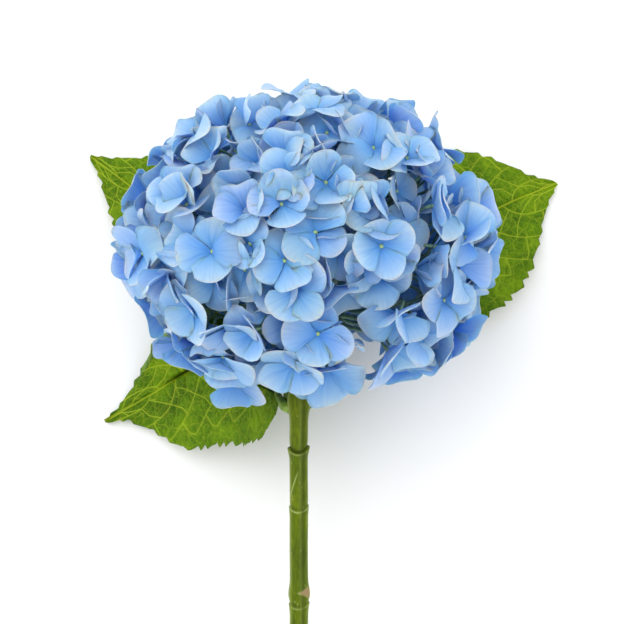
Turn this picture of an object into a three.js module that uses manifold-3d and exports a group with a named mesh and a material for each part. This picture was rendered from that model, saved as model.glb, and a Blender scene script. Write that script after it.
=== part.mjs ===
// A cut hydrangea lying on a flat surface: one leafy stem and a mophead of four-sepal florets.
// Millimetres, +Z up. The stem lies along +Y with the flower head at the far end.
import * as THREE from 'three';
import Module from 'manifold-3d';

// --- Driving dimensions --------------------------------------------------------------------
const TILT = THREE.MathUtils.degToRad(15.6);   // the head is fat, so it holds the stem up
const HEAD_HEIGHT = 86;                        // middle of the head above the surface
const HEAD_RADII = [88, 73, 82];               // floret centres: across, along the stem, depth
const HEAD_SAG = 3.5;                          // how far the florets hang towards the stem
const STEM_RADIUS = 4.6;
const STEM_X = -4.5;                           // the stem enters a little left of the middle
const STEM_BELOW_HEAD_CENTRE = 304.8;
const STEM_TOP = -47;                          // where the stem ends and the branches begin
const NODES_ON_STEM = [[-82, 5.5], [-105, 5.6], [-137, 4.9], [-180, 5.6], [-246, 5.4]];
const HUB = [-4.5, -40, 0];
const FLORET_RADIUS = 15.4;
const SEPAL_DEPTH = 1.7;                       // underside of a floret at its stalk
const RIM = 12;                                // points round the four sepals
const BUD_HEIGHT = 1.9;
const BUD_RADIUS = 1.7;
const FLORET_CUP = 3.2;                        // how far the sepal tips stand above the middle
const SPIRAL_COUNT = 230;
const BALD_CONE = -0.87;                       // no florets round the place where the stem enters
const KEY_CLEARANCE = 12.5;
const FRONT_CROWDING = 0.27;                   // florets stand closer on the side that faces up
const OPENING = [28, -36, 10];                 // a notch: across, where it ends, half width
const FLORETS_PER_SPRIG = 5;
const SPRIG_REACH = 40;
const BRANCH_COUNT = 7;
const PEDICEL_RADIUS = 0.8;
const TWIG_RADIUS = 1.2;
const BRANCH_RADIUS = 1.9;
const FACE_TOLERANCE = 0.3;
const GAP = 0.35;                              // clear space between separate pieces
const FLOOR_CLEARANCE = 3.2;                   // lowest florets above the surface and the leaves
const LEAF_THICKNESS = 1.2;
const PETIOLE_RADIUS = 1.9;
const ORIGIN = [8, -108];                      // middle of the footprint, from under the head

// Florets placed one by one on the front of the head: across, along the stem, how far the
// floret is turned to face straight out (0 to 1), and its spin in degrees.
const KEY_FLORETS = [
  [-21.4, 32.4, 0.5, 20], [-9.8, 27.0, 0.2, 60], [6.9, 26.0, 0.4, 35], [3.1, 60.7, 0.3, 10],
  [29.1, 39.3, 0.4, 50], [50.3, 33.4, 0.3, 25], [18.4, 6.4, 0.3, 15], [3.2, 1.6, 0.3, 70],
  [34.5, -4.7, 0.9, 42], [-12.7, -8.2, 0.5, 30], [-44.4, -7.1, 0.7, 12], [-78.5, -8.5, 0.3, 40],
  [-4.6, -25.5, 0.4, 55], [-24.8, -44.2, 0.8, 45], [-40.9, -57.5, 0.7, 20],
  [5.4, -47.2, 0.7, 5], [-7.7, -61.8, 0.4, 33], [-36.7, -72.7, 0.5, 8],
  [47.9, -36.2, 0.6, 48], [64.9, -30.5, 0.4, 22], [79.3, -40.8, 0.3, 61],
  [64.3, -54.4, 0.9, 40], [42.6, -55.7, 0.5, 15], [-53.6, -34.2, 0.5, 38],
  [-62.5, 9.6, 0.4, 52], [-30.3, 8.1, 0.5, 28], [62.5, 12.0, 0.4, 18], [8.5, -66.5, 0.5, 28],
  [-13, 13.5, 0.4, 33],
];

// Each leaf: midrib points as [across, along the stem, height], where along the midrib the
// blade begins, and the blade's largest half widths to the right and left of its midrib.
const LEAVES = {
  leaf_lower_left: {
    midrib: [[-12, -84, 63], [-19, -74, 50], [-34, -64, 33], [-58, -66, 17], [-82, -80, 6],
      [-107, -94.5, 2.6]],
    blade: 0.05,
    widths: [27, 40],
    profile: [0.2, 0.66, 0.88, 0.98, 1, 1, 0.95, 0.81, 0.43, 0.12, 0],
  },
  leaf_upper_left: {
    midrib: [[-9.5, -80, 58.2], [-11, -68, 40], [-20, -46, 14], [-48, -8, 6], [-93.5, 28.8, 5],
      [-118.4, 47.6, 2.6]],
    blade: 0.3,
    widths: [36, 28],
  },
  leaf_right: {
    midrib: [[3.4, -81.5, 62], [5, -64, 44], [14, -40, 22], [42, -20, 9], [70, -4, 6],
      [99.4, 17.3, 5], [134.5, 32.8, 2.6]],
    blade: 0.42,
    widths: [42, 42],
  },
};
// Half width of a blade as a share of its largest, at even steps from base to tip.
const BLADE_PROFILE = [0, 0.62, 0.84, 0.94, 0.99, 1, 0.96, 0.83, 0.56, 0.22, 0];
const TEETH = 13;                              // along each edge of a leaf
const TOOTH = 2;

// --- Colours -------------------------------------------------------------------------------
const SEPAL_BLUE = 0x7db1e8;
const STEM_GREEN = 0x5f7a1a;
const BRANCH_GREEN = 0x8fa86a;
const LEAF_GREEN = 0x55890f;

const group = new THREE.Group();
group.name = 'cut_hydrangea';
const wasm = await Module();
wasm.setup();
const { Manifold, Mesh } = wasm;

// --- Frames and numbers --------------------------------------------------------------------
const across = new THREE.Vector3(1, 0, 0);
const along = new THREE.Vector3(0, Math.cos(TILT), Math.sin(TILT));
const outward = new THREE.Vector3(0, -Math.sin(TILT), Math.cos(TILT));

/** A point given in the head's own directions, measured from the middle of the head. */
function headPoint(x, y, z) {
  return new THREE.Vector3(-ORIGIN[0], -ORIGIN[1], HEAD_HEIGHT)
    .addScaledVector(across, x)
    .addScaledVector(along, y)
    .addScaledVector(outward, z);
}

/** A repeatable number from 0 to 1 for each pair of whole numbers. */
function chance(n, k) {
  const s = Math.sin(n * 12.9898 + k * 78.233) * 43758.5453;
  return s - Math.floor(s);
}

/** A point of the stem line at a given distance along it and height above the surface. */
function pointAtHeight(x, y, height) {
  const z = (height - HEAD_HEIGHT - y * Math.sin(TILT)) / Math.cos(TILT);
  return headPoint(x, y, z);
}

/** Height of the head's underside above a place given across and along the stem. */
function headUnderside(x, y) {
  const [a, b, c] = HEAD_RADII.map((r) => r + 7);
  const left = 1 - (x / a) ** 2 - (y / b) ** 2;
  if (left <= 0) return Infinity;
  return HEAD_HEIGHT + y * Math.sin(TILT) - c * Math.sqrt(left) * Math.cos(TILT);
}

// --- Floret layout -------------------------------------------------------------------------
/** Every floret: its middle, the way it faces, its spin and its radius. */
function layOutFlorets() {
  const [a, b, c] = HEAD_RADII;
  const florets = [];
  KEY_FLORETS.forEach(([x, y, face, spin], i) => {
    const left = Math.max(0, 1 - (x / a) ** 2 - (y / b) ** 2);
    const local = new THREE.Vector3(x, y, c * Math.sqrt(left) + 2 * chance(i, 9));
    florets.push(makeFloret(local, face, THREE.MathUtils.degToRad(spin), i));
  });
  const keys = florets.length;
  const golden = Math.PI * (3 - Math.sqrt(5));
  for (let i = 0; i < SPIRAL_COUNT; i += 1) {
    const v = 1 - (2 * (i + 0.5)) / SPIRAL_COUNT;
    if (v < BALD_CONE) continue;
    const ring = Math.sqrt(1 - v * v);
    const even = i * golden + 0.18 * (chance(i, 1) - 0.5);
    const turn = even + FRONT_CROWDING * Math.cos(even);
    const depth = 1 - 0.2 * chance(i, 2);
    const local = new THREE.Vector3(
      a * depth * ring * Math.cos(turn),
      b * depth * v - HEAD_SAG,
      c * depth * ring * Math.sin(turn));
    const crowded = florets.slice(0, keys).some((f) => f.local.distanceTo(local) < KEY_CLEARANCE);
    const open = Math.abs(local.x - OPENING[0]) < OPENING[2] && local.y < OPENING[1];
    if (crowded || open) continue;
    florets.push(makeFloret(local, 0, 2 * Math.PI * chance(i, 3), i + 100));
  }
  return florets;
}

function makeFloret(local, face, spin, seed) {
  const [a, b, c] = HEAD_RADII;
  const facing = new THREE.Vector3(local.x / a ** 2, local.y / b ** 2, local.z / c ** 2);
  facing.normalize().lerp(new THREE.Vector3(0, 0, 1), face * 0.6);
  const lean = 1.2 * (1 - 0.7 * face);
  facing.x += lean * (chance(seed, 4) - 0.5);
  facing.y += lean * (chance(seed, 5) - 0.5);
  facing.z += lean * (chance(seed, 6) - 0.5);
  facing.normalize();
  const centre = headPoint(local.x, local.y, local.z);
  const normal = new THREE.Vector3()
    .addScaledVector(across, facing.x)
    .addScaledVector(along, facing.y)
    .addScaledVector(outward, facing.z);
  // Florets under the head are pressed flat by its weight.
  const press = THREE.MathUtils.clamp((FLOOR_CLEARANCE + 16 - centre.z) / 16, 0, 1);
  normal.lerp(new THREE.Vector3(0, 0, -1), press * 0.85).normalize();
  centre.z = Math.max(centre.z, FLOOR_CLEARANCE + FLORET_CUP + 1.4);
  return { local, centre, normal, spin, radius: FLORET_RADIUS * (0.93 + 0.14 * chance(seed, 7)) };
}

/** Groups of neighbouring florets that share one sprig. */
function groupFlorets(florets) {
  const free = new Set(florets.keys());
  const groups = [];
  const byHeight = [...florets.keys()].sort((p, q) => florets[q].local.y - florets[p].local.y);
  for (const first of byHeight) {
    if (!free.has(first)) continue;
    free.delete(first);
    const members = [first];
    while (members.length < FLORETS_PER_SPRIG) {
      const middle = new THREE.Vector3();
      members.forEach((m) => middle.addScaledVector(florets[m].centre, 1 / members.length));
      let best = -1;
      let bestGap = SPRIG_REACH;
      for (const m of free) {
        const d = florets[m].centre.distanceTo(middle);
        if (d < bestGap) {
          best = m;
          bestGap = d;
        }
      }
      if (best < 0) break;
      free.delete(best);
      members.push(best);
    }
    groups.push(members.map((m) => florets[m]));
  }
  return groups;
}

// --- Solids --------------------------------------------------------------------------------
/** A closed body from points and triangles. */
function solid(points, triangles) {
  const vertProperties = new Float32Array(points.length * 3);
  points.forEach((p, i) => vertProperties.set([p.x, p.y, p.z], 3 * i));
  const mesh = new Mesh({ numProp: 3, vertProperties, triVerts: new Uint32Array(triangles.flat()) });
  return new Manifold(mesh);
}

/** A round bar through a row of points, with a radius for each. */
function tube(points, radii, sides) {
  const rings = [];
  const side = new THREE.Vector3();
  for (let i = 0; i < points.length; i += 1) {
    const before = points[Math.max(0, i - 1)];
    const after = points[Math.min(points.length - 1, i + 1)];
    const t = after.clone().sub(before).normalize();
    if (i === 0) {
      side.set(1, 0, 0);
      if (Math.abs(t.x) > 0.8) side.set(0, 1, 0);
    }
    side.addScaledVector(t, -side.dot(t)).normalize();
    const up = t.clone().cross(side);
    for (let k = 0; k < sides; k += 1) {
      const w = (2 * Math.PI * k) / sides;
      rings.push(points[i].clone()
        .addScaledVector(side, radii[i] * Math.cos(w))
        .addScaledVector(up, radii[i] * Math.sin(w)));
    }
  }
  const triangles = [];
  for (let i = 0; i + 1 < points.length; i += 1) {
    for (let k = 0; k < sides; k += 1) {
      const a = i * sides + k;
      const b = i * sides + ((k + 1) % sides);
      triangles.push([a, b, b + sides], [a, b + sides, a + sides]);
    }
  }
  const last = (points.length - 1) * sides;
  for (let k = 1; k + 1 < sides; k += 1) {
    triangles.push([0, k + 1, k], [last, last + k, last + k + 1]);
  }
  return solid(rings, triangles);
}

/** A straight bar that stretches a little past both of its ends. */
function bar(from, to, r0, r1, sides, past) {
  const t = to.clone().sub(from).normalize();
  const a = from.clone().addScaledVector(t, -past);
  const b = to.clone().addScaledVector(t, past);
  return tube([a, b], [r0, r1], sides);
}

/** How far a point may lie from a floret's middle before it is nearer to a neighbour. */
function roomFor(floret, florets, way, lift) {
  let room = Infinity;
  florets.forEach((other) => {
    if (other === floret) return;
    const apart = floret.centre.clone().sub(other.centre);
    const slope = -apart.clone().normalize().dot(way);
    if (slope <= 0.05) return;
    const rise = Math.abs(apart.clone().normalize().dot(floret.normal)) * lift;
    room = Math.min(room, (apart.length() / 2 - GAP / 2 - rise) / slope);
  });
  return room;
}

/** Four round-shouldered sepals in one shallow dish, with a small pointed bud in the middle. */
function dish(floret, florets) {
  const { centre, normal, spin, radius } = floret;
  const u = new THREE.Vector3(0.3, 1, 0.2).cross(normal).normalize();
  const v = normal.clone().cross(u);
  const place = (w, r, lift) => centre.clone()
    .addScaledVector(u, r * Math.cos(w))
    .addScaledVector(v, r * Math.sin(w))
    .addScaledVector(normal, lift);
  const outline = [];
  for (let k = 0; k < RIM; k += 1) {
    const notch = k % 3 === 0;
    const w = spin + (2 * Math.PI * k) / RIM + [0, -0.07, 0.07][k % 3];
    const full = radius * (notch ? 0.68 : 1.02);
    const way = place(w, 1, 0).sub(centre);
    const r = Math.min(full, roomFor(floret, florets, way, FLORET_CUP));
    outline.push(place(w, Math.max(r, 3), (FLORET_CUP * r) / radius));
  }
  const inner = [0, 1, 2, 3].map((k) => place(spin + (Math.PI * k) / 2, BUD_RADIUS, 0.3));
  const points = [...inner, ...outline, place(0, 0, BUD_HEIGHT), place(0, 0, -SEPAL_DEPTH)];
  points.forEach((p) => {
    p.z = Math.max(p.z, FLOOR_CLEARANCE + (p.z - FLOOR_CLEARANCE) * 0.01);
  });
  const tip = RIM + 4;
  const under = RIM + 5;
  const triangles = [];
  for (let k = 0; k < 4; k += 1) {
    const next = (k + 1) % 4;
    const rim = [0, 1, 2, 3].map((j) => 4 + ((3 * k + j) % RIM));
    triangles.push([k, next, tip], [k, rim[0], rim[1]], [k, rim[1], next],
      [next, rim[1], rim[2]], [next, rim[2], rim[3]]);
  }
  for (let k = 0; k < RIM; k += 1) {
    triangles.push([under, 4 + ((k + 1) % RIM), 4 + k]);
  }
  return solid(points, triangles);
}

function mix(a, b, t) {
  return a.clone().lerp(b, t);
}

/** Stalks of one sprig: a short twig from its foot to a joint, and a pedicel to each floret. */
function planSprig(florets) {
  const hub = headPoint(...HUB);
  const middle = new THREE.Vector3();
  florets.forEach((f) => middle.addScaledVector(f.centre, 1 / florets.length));
  return { florets, foot: mix(hub, middle, 0.5), joint: mix(hub, middle, 0.66) };
}

function sprigStalks(sprig, grow) {
  const parts = [bar(sprig.foot, sprig.joint, TWIG_RADIUS + grow, TWIG_RADIUS + grow, 4, grow)];
  const r = PEDICEL_RADIUS + grow;
  sprig.florets.forEach((f) => {
    parts.push(tube([sprig.joint, f.centre], [r, r], 3));
  });
  return Manifold.union(parts);
}

/** The largest single body of a solid. */
function largestBody(body) {
  return body.decompose().sort((p, q) => q.volume() - p.volume())[0];
}

/** Whether a solid stays closed when points nearer than a ten-thousandth are joined. */
function staysClosed(body) {
  const { vertProperties, triVerts, numProp } = body.getMesh();
  const joined = new Map();
  const number = [];
  for (let i = 0; i < vertProperties.length; i += numProp) {
    const key = [0, 1, 2].map((k) => vertProperties[i + k].toFixed(4)).join();
    if (!joined.has(key)) joined.set(key, joined.size);
    number.push(joined.get(key));
  }
  const seen = new Set();
  for (let i = 0; i < triVerts.length; i += 3) {
    const [a, b, c] = [0, 1, 2].map((k) => number[triVerts[i + k]]);
    for (const edge of [`${a} ${b}`, `${b} ${c}`, `${c} ${a}`]) {
      if (seen.has(edge)) return false;
      seen.add(edge);
    }
  }
  return [...seen].every((edge) => seen.has(edge.split(' ').reverse().join(' ')));
}

/** The largest single body of a solid, with needless small faces merged. */
function tidyBody(body) {
  const main = largestBody(body);
  for (const share of [1, 0.9, 1.1, 0.8, 1.2, 0.6, 1.4, 0.3]) {
    const made = largestBody(main.simplify(FACE_TOLERANCE * share));
    if (staysClosed(made)) return made;
  }
  throw new Error('a piece does not stay closed');
}

/** Adds a solid to the group as one named mesh. */
function addPiece(name, body, colour, roughness) {
  const { vertProperties, triVerts, numProp } = body.getMesh();
  const position = new Float32Array((vertProperties.length / numProp) * 3);
  for (let i = 0; i < position.length / 3; i += 1) {
    position.set(vertProperties.subarray(i * numProp, i * numProp + 3), 3 * i);
  }
  const geometry = new THREE.BufferGeometry();
  geometry.setAttribute('position', new THREE.BufferAttribute(position, 3));
  geometry.setIndex([...triVerts]);
  geometry.computeVertexNormals();
  const material = new THREE.MeshStandardMaterial({ color: colour, roughness, metalness: 0 });
  const mesh = new THREE.Mesh(geometry, material);
  mesh.name = name;
  group.add(mesh);
}

// --- Stem ----------------------------------------------------------------------------------
function buildStem() {
  const end = -STEM_BELOW_HEAD_CENTRE;
  const stations = [[end, STEM_RADIUS], [STEM_TOP, STEM_RADIUS * 0.8]];
  NODES_ON_STEM.forEach(([y, r]) => {
    stations.push([y - 6, STEM_RADIUS], [y - 1, r], [y + 1, r], [y + 5, STEM_RADIUS]);
  });
  stations.sort((p, q) => p[0] - q[0]);
  const line = stations.map(([y]) => headPoint(STEM_X, y, 0));
  const body = tube(line, stations.map(([, r]) => r), 14);
  // The cut is slanted across the stem.
  const cut = along.clone().multiplyScalar(0.8).addScaledVector(outward, -0.6);
  const at = headPoint(STEM_X, end + 5, 0);
  return body.trimByPlane(cut.toArray(), cut.dot(at)).simplify(0.03);
}

// --- Leaves --------------------------------------------------------------------------------
/** Half width of a blade at a share of its length, smoothly between the profile's values. */
function bladeHalfWidth(share, profile) {
  const last = profile.length - 1;
  const i = Math.min(last - 1, Math.floor(share * last));
  const t = share * last - i;
  return THREE.MathUtils.lerp(profile[i], profile[i + 1], t);
}

/** Height of a leaf's upper side: as it would hang, but under the head and on the surface. */
function leafHeight(x, y, natural) {
  const under = headUnderside(x, y) - GAP;
  return Math.max(LEAF_THICKNESS + 0.05, Math.min(natural, under));
}

/** One leaf: a blade laid over the surface and under the head, with its midrib and petiole. */
function buildLeaf({ midrib, blade, widths, profile = BLADE_PROFILE }, grow = 0) {
  const line = new THREE.CatmullRomCurve3(midrib.map((p) => new THREE.Vector3(...p)));
  const steps = 2 * TEETH;
  const sideSteps = [-1, -0.5, 0, 0.5, 1];
  const top = [];
  // The side veins lie square to the blade's own length and to its midrib in equal parts.
  const chord = line.getPointAt(1).sub(line.getPointAt(blade)).setZ(0).normalize();
  for (let i = 0; i <= steps; i += 1) {
    const share = i / steps;
    const p = line.getPointAt(blade + (1 - blade) * share);
    const t = line.getTangentAt(blade + (1 - blade) * share).setZ(0).normalize().add(chord);
    t.normalize();
    sideSteps.forEach((s) => {
      const tooth = i % 2 === 1 && Math.abs(s) === 1 ? TOOTH * Math.sin(Math.PI * share) : 0;
      const half = Math.max(0.7, widths[s < 0 ? 0 : 1] * bladeHalfWidth(share, profile)) + grow + tooth;
      const x = p.x - t.y * s * half;
      const y = p.y + t.x * s * half;
      const fold = 0.13 * Math.abs(s) * half * Math.sin(Math.PI * share);
      top.push([x, y, leafHeight(x, y, p.z + fold)]);
    });
  }
  const columns = sideSteps.length;
  const rows = steps + 1;
  const at = (i, k) => i * columns + k;
  const upper = top.map(([x, y, z]) => pointAtHeight(x, y, z + 1.5 * grow));
  const under = top.map(([x, y, z]) => pointAtHeight(x, y, z - LEAF_THICKNESS - 1.5 * grow));
  const count = upper.length;
  const triangles = [];
  for (let i = 0; i + 1 < rows; i += 1) {
    for (let k = 0; k + 1 < columns; k += 1) {
      const q = [at(i, k), at(i + 1, k), at(i + 1, k + 1), at(i, k + 1)];
      triangles.push([q[0], q[1], q[2]], [q[0], q[2], q[3]]);
      triangles.push([count + q[0], count + q[2], count + q[1]],
        [count + q[0], count + q[3], count + q[2]]);
    }
  }
  const rim = [];
  for (let i = 0; i < rows; i += 1) rim.push(at(i, 0));
  for (let k = 1; k < columns; k += 1) rim.push(at(rows - 1, k));
  for (let i = rows - 2; i >= 0; i -= 1) rim.push(at(i, columns - 1));
  for (let k = columns - 2; k > 0; k -= 1) rim.push(at(0, k));
  rim.forEach((a, i) => {
    const b = rim[(i + 1) % rim.length];
    triangles.push([a, count + b, b], [a, count + a, count + b]);
  });
  let plate = solid([...upper, ...under], triangles);
  if (plate.volume() < 0) {
    plate = solid([...upper, ...under], triangles.map(([a, b, c]) => [a, c, b]));
  }
  const stalkEnd = blade + 0.12;
  const stalk = [];
  for (let i = 0; i <= 9; i += 1) {
    const p = line.getPointAt((stalkEnd * i) / 9);
    const middle = leafHeight(p.x, p.y, p.z) - LEAF_THICKNESS / 2;
    stalk.push(pointAtHeight(p.x, p.y, Math.max(middle, PETIOLE_RADIUS * 0.9)));
  }
  const radii = stalk.map((_, i) => PETIOLE_RADIUS * (1 - 0.07 * i) + grow);
  return plate.add(tube(stalk, radii, 8));
}

// --- Branches ------------------------------------------------------------------------------
/** Sprigs shared out among the main branches by direction from the hub. */
function shareOut(sprigs) {
  const hub = headPoint(...HUB);
  const golden = Math.PI * (3 - Math.sqrt(5));
  const heads = [];
  for (let i = 0; i < BRANCH_COUNT; i += 1) {
    const v = 0.98 - (1.3 * (i + 0.4)) / BRANCH_COUNT;
    const ring = Math.sqrt(1 - v * v);
    heads.push(new THREE.Vector3()
      .addScaledVector(across, ring * Math.cos(i * golden))
      .addScaledVector(along, v)
      .addScaledVector(outward, ring * Math.sin(i * golden)));
  }
  const shares = heads.map(() => []);
  sprigs.forEach((s) => {
    const way = s.foot.clone().sub(hub).normalize();
    const dots = heads.map((h) => h.dot(way));
    shares[dots.indexOf(Math.max(...dots))].push(s);
  });
  return shares.filter((share) => share.length > 0);
}

function buildBranch(share) {
  const hub = headPoint(...HUB);
  const middle = new THREE.Vector3();
  share.forEach((s) => middle.addScaledVector(s.foot, 1 / share.length));
  const way = middle.clone().sub(hub).normalize();
  const start = hub.clone().addScaledVector(way, 7.5);
  const fork = mix(hub, middle, 0.55);
  const parts = [bar(start, fork, BRANCH_RADIUS * 0.9, BRANCH_RADIUS * 0.8, 7, 0.3)];
  share.forEach((s) => {
    const reach = s.foot.clone().sub(fork);
    const stop = s.foot.clone().addScaledVector(reach.normalize(), -GAP - 0.5);
    parts.push(bar(fork, stop, TWIG_RADIUS, TWIG_RADIUS, 4, 0.1));
  });
  return Manifold.union(parts);
}

// --- Assembly ------------------------------------------------------------------------------
const stem = buildStem();
addPiece('stem', stem, STEM_GREEN, 0.55);

const florets = layOutFlorets();
const sprigs = groupFlorets(florets).map(planSprig);
const grownStalks = sprigs.map((s) => sprigStalks(s, GAP));
const grownLeaves = Object.values(LEAVES).map((leaf) => buildLeaf(leaf, GAP));
sprigs.forEach((s, i) => {
  let body = Manifold.union(s.florets.map((f) => dish(f, florets)));
  grownLeaves.forEach((leaf) => {
    if (body.intersect(leaf).volume() > 0) body = body.subtract(leaf);
  });
  grownStalks.forEach((other, j) => {
    if (j !== i && body.intersect(other).volume() > 0) body = body.subtract(other);
  });
  let stalks = sprigStalks(s, 0);
  grownStalks.slice(0, i).forEach((other) => {
    if (stalks.intersect(other).volume() > 0) stalks = stalks.subtract(other);
  });
  addPiece(`sprig_${String(i + 1).padStart(2, '0')}`, tidyBody(body.add(stalks)), SEPAL_BLUE, 0.6);
});

let placed = Manifold.union([stem, ...grownStalks]);
shareOut(sprigs).forEach((share, i) => {
  const body = tidyBody(buildBranch(share).subtract(placed));
  placed = placed.add(body);
  addPiece(`branch_${i + 1}`, body, BRANCH_GREEN, 0.6);
});

Object.entries(LEAVES).forEach(([name, leaf], i) => {
  const body = buildLeaf(leaf).subtract(Manifold.union(grownLeaves.slice(0, i)));
  addPiece(name, i > 0 ? tidyBody(body) : body, LEAF_GREEN, 0.5);
});

export default group;
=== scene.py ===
import math

import bpy
import numpy as np
from bpy.props import FloatProperty, FloatVectorProperty, PointerProperty
from mathutils import Matrix, Vector


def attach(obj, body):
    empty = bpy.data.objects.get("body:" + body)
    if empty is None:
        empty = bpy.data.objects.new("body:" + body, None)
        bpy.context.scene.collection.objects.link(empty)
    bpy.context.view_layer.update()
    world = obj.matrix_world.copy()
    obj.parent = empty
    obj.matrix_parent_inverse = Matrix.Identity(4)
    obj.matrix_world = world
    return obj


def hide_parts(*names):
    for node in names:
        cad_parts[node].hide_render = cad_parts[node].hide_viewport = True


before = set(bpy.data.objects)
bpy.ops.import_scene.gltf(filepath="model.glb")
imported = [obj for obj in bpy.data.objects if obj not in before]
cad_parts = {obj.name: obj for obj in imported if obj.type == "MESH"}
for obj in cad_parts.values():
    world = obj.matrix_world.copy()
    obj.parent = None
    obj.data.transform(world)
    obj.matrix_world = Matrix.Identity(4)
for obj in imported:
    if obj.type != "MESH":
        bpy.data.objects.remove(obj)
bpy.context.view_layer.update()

bl_info = {
    "name": "Cut Hydrangea",
    "version": (1, 0, 0),
    "blender": (4, 5, 0),
    "location": "View3D > Sidebar > Hydrangea",
    "description": "Builds a cut mophead hydrangea that lies on a pale surface",
    "category": "Object",
}

MM = 0.001

# --- The flower's own measures, in millimetres and degrees ----------------------------------
TILT = math.radians(15.6)
HEAD_HEIGHT = 86.0
HEAD_RADII = np.array([88.0, 73.0, 82.0])
HEAD_SAG = 3.5
ORIGIN = np.array([8.0, -108.0])
STEM_X = -4.5
STEM_RADIUS = 4.6
STEM_BELOW_HEAD_CENTRE = 304.8
STEM_TOP = -47.0
HUB = np.array([-4.5, -40.0, 0.0])
SPIRAL_COUNT = 230
BALD_CONE = -0.87
KEY_CLEARANCE = 12.5
FRONT_CROWDING = 0.27                 # florets stand closer on the side that faces up
OPENING = (28.0, -36.0, 10.0)         # a notch: across, where it ends, half width
FLORETS_PER_SPRIG = 5
SPRIG_REACH = 40.0
BRANCH_COUNT = 7
FLOOR_CLEARANCE = 3.2
LEAF_THICKNESS = 1.2
BLADE_SKIN = 0.4                      # the visible blade, thinner than the space kept for it
GAP = 0.35
GOLDEN = math.pi * (3 - math.sqrt(5))

# Florets placed one by one on the front of the head: across, along the stem, how far each is
# turned to face straight out, and its spin in degrees.
KEY_FLORETS = [
    (-21.4, 32.4, 0.5, 20), (-9.8, 27.0, 0.2, 60), (6.9, 26.0, 0.4, 35), (3.1, 60.7, 0.3, 10),
    (29.1, 39.3, 0.4, 50), (50.3, 33.4, 0.3, 25), (18.4, 6.4, 0.3, 15), (3.2, 1.6, 0.3, 70),
    (34.5, -4.7, 0.9, 42), (-12.7, -8.2, 0.5, 30), (-44.4, -7.1, 0.7, 12), (-78.5, -8.5, 0.3, 40),
    (-4.6, -25.5, 0.4, 55), (-24.8, -44.2, 0.8, 45), (-40.9, -57.5, 0.7, 20),
    (5.4, -47.2, 0.7, 5), (-7.7, -61.8, 0.4, 33), (-36.7, -72.7, 0.5, 8),
    (47.9, -36.2, 0.6, 48), (64.9, -30.5, 0.4, 22), (79.3, -40.8, 0.3, 61),
    (64.3, -54.4, 0.9, 40), (42.6, -55.7, 0.5, 15), (-53.6, -34.2, 0.5, 38),
    (-62.5, 9.6, 0.4, 52), (-30.3, 8.1, 0.5, 28), (62.5, 12.0, 0.4, 18), (8.5, -66.5, 0.5, 28),
    (-13, 13.5, 0.4, 33),
]

# Each leaf: midrib points as (across, along the stem, height), where along the midrib the
# blade begins, and the blade's largest half widths to the right and left of its midrib.
LEAVES = {
    "leaf_lower_left": {
        "midrib": [(-12, -84, 63), (-19, -74, 50), (-34, -64, 33), (-58, -66, 17), (-82, -80, 6),
                   (-107, -94.5, 2.6)],
        "profile": [0.2, 0.66, 0.88, 0.98, 1, 1, 0.95, 0.81, 0.43, 0.12, 0],
        "blade": 0.05, "widths": (27, 40), "crease": (0.28, 0.66), "rolled": (0.3, 0.72)},
    "leaf_upper_left": {
        "midrib": [(-9.5, -80, 58.2), (-11, -68, 40), (-20, -46, 14), (-48, -8, 6),
                   (-93.5, 28.8, 5), (-118.4, 47.6, 2.6)],
        "blade": 0.3, "widths": (36, 28)},
    "leaf_right": {
        "midrib": [(3.4, -81.5, 62), (5, -64, 44), (14, -40, 22), (42, -20, 9), (70, -4, 6),
                   (99.4, 17.3, 5), (134.5, 32.8, 2.6)],
        "blade": 0.42, "widths": (42, 42)},
}
# Half width of a blade from base to tip, at even steps.
BLADE_PROFILE = [0, 0.62, 0.84, 0.94, 0.99, 1, 0.96, 0.83, 0.56, 0.22, 0]

LINE_STEPS = 400                      # along a midrib, from the stem to the tip
BLADE_ROWS, BLADE_COLUMNS = 300, 171
TEETH, TOOTH = 16, 2.8                # along each edge of a leaf, and how far they stand out
VEINS_PER_SIDE = 7

SEPAL_LENGTH, SEPAL_HALF_WIDTH = 16.2, 9.6
HEAD_MARGIN = 9.0                     # how far sepals may stand out of the head
START_SIZE = 0.35                     # share of its size at which a floret begins to open
GROWTH_ROUNDS = 130
SEPAL_CLEARANCE = 3.4
USUAL_ROOM = 17.2                     # between florets of the usual size

BUD_RINGS, BUD_SIDES, BUD_RAISED = 6, 12, 0.5
SEPAL_SLOT, BUD_SLOT, STALK_SLOT = 0, 1, 2

STEM_ROWS, STEM_SIDES = 760, 96
CUT_RINGS, CUT_HOLLOW = 9, 0.35
LEAF_NODE, SCAR_NODE, SCAR_MIDDLE, FIBRE_MIDDLE = -82, -177.5, -176.8, -123.5
LENTICELS = 90
# Collars: where the lip is, how high it stands, how far it dips in front, how pale its lip is.
COLLARS = [(-104.5, 1.0, 3.4, 0.45), (-134.0, 0.35, 2.6, 0.7), (-246.0, 0.8, 2.4, 0.5),
           (-182.5, 0.45, 2.2, 0.4)]
# Ridges: their angle round the stem and their height.
RIDGES = [(2.75, 0.22), (0.35, 0.16), (1.35, 0.07), (4.4, 0.2), (5.5, 0.12)]

# --- The stage, in metres -------------------------------------------------------------------
FLOOR_HALF = 4.0
WORLD_STRENGTH = 1.14
LIGHT_DISTANCE, LIGHT_SIZE = 1.9, 2.2
# Soft lights: name, direction from the head, and power in watts.
LIGHTS = [("key_softbox", (-0.9, 0.4, 1.4), 15.0), ("fill_softbox", (1.1, -0.2, 1.2), 4.0)]

ACROSS = np.array([1.0, 0.0, 0.0])
ALONG = np.array([0.0, math.cos(TILT), math.sin(TILT)])
OUTWARD = np.array([0.0, -math.sin(TILT), math.cos(TILT)])
HEAD_AXES = np.stack([ACROSS, ALONG, OUTWARD])
HEAD_CENTRE = np.array([-ORIGIN[0], -ORIGIN[1], HEAD_HEIGHT])


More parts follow.
